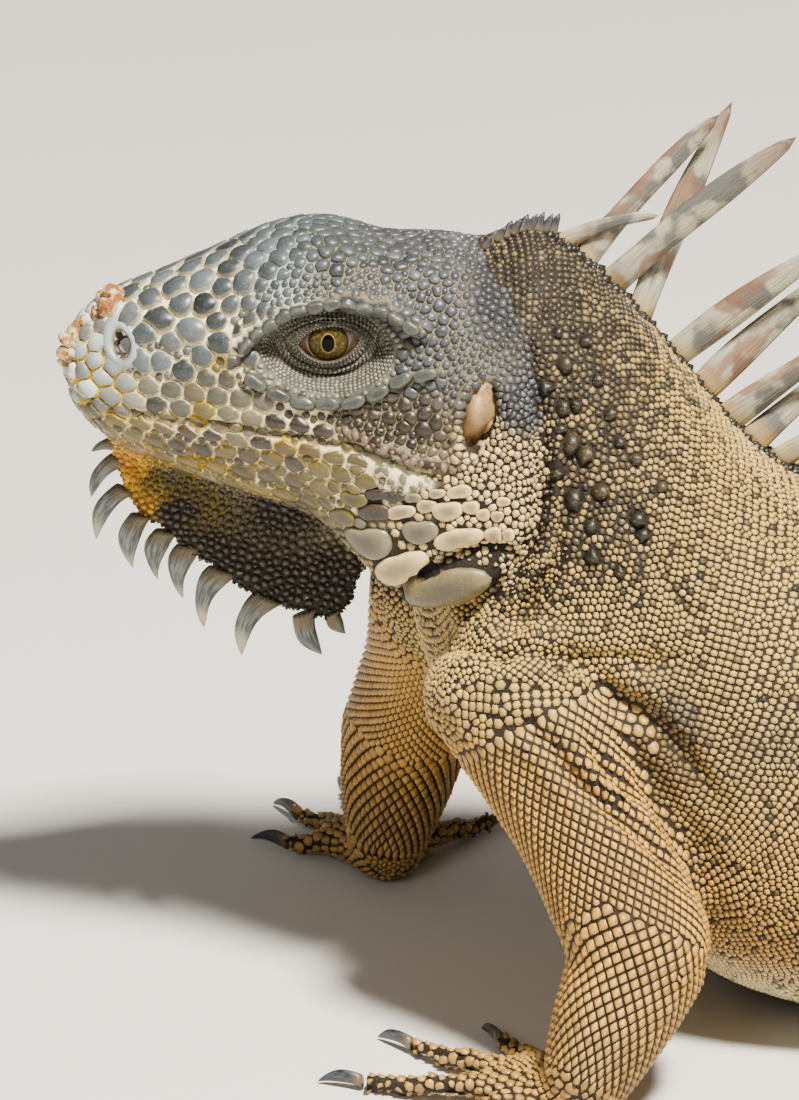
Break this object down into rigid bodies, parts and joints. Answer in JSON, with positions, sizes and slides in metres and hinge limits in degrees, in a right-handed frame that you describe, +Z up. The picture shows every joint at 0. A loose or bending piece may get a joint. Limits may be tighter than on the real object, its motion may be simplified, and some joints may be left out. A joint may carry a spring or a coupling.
{
  "type": "iguana",
  "caption": "Life-size adult male green iguana lying with its chest propped on its arms, head up, crest raised, tail along the floor.",
  "frame": {"origin": "middle of the flat of the belly, on the floor the animal lies on", "axes": "-Y towards the snout, +Y towards the tail's tip, +X the animal's left side, +Z up"},
  "size_m": [0.285, 1.2287, 0.1983],
  "materials": {
    "skin": "dry matt scaled skin, golden cream beads on the body, grey-blue plates on the head",
    "claw": "dark horn, smooth, half gloss",
    "eye": "wet eyeball with a golden olive iris and a dark upright pupil",
    "ear": "thin stretched tan ear drum, smooth"
  },
  "bodies": {
    "root": {"claw_foot_left_1": "claw", "claw_foot_left_2": "claw", "claw_foot_left_3": "claw", "claw_foot_left_4": "claw", "claw_foot_left_5": "claw", "claw_foot_right_1": "claw", "claw_foot_right_2": "claw", "claw_foot_right_3": "claw", "claw_foot_right_4": "claw", "claw_foot_right_5": "claw", "claw_hand_left_1": "claw", "claw_hand_left_2": "claw", "claw_hand_left_3": "claw", "claw_hand_left_4": "claw", "claw_hand_left_5": "claw", "claw_hand_right_1": "claw", "claw_hand_right_2": "claw", "claw_hand_right_3": "claw", "claw_hand_right_4": "claw", "claw_hand_right_5": "claw", "dewlap": "skin", "ear_left": "ear", "ear_right": "ear", "eye_left": "eye", "eye_right": "eye", "foot_left": "skin", "foot_right": "skin", "forearm_left": "skin", "forearm_right": "skin", "hand_left": "skin", "hand_right": "skin", "head": "skin", "lower_jaw": "skin", "neck": "skin", "shin_left": "skin", "shin_right": "skin", "tail_1": "skin", "tail_2": "skin", "tail_3": "skin", "tail_4": "skin", "tail_5": "skin", "thigh_left": "skin", "thigh_right": "skin", "trunk_front": "skin", "trunk_rear": "skin", "upper_arm_left": "skin", "upper_arm_right": "skin"}
  },
  "joints": []
}
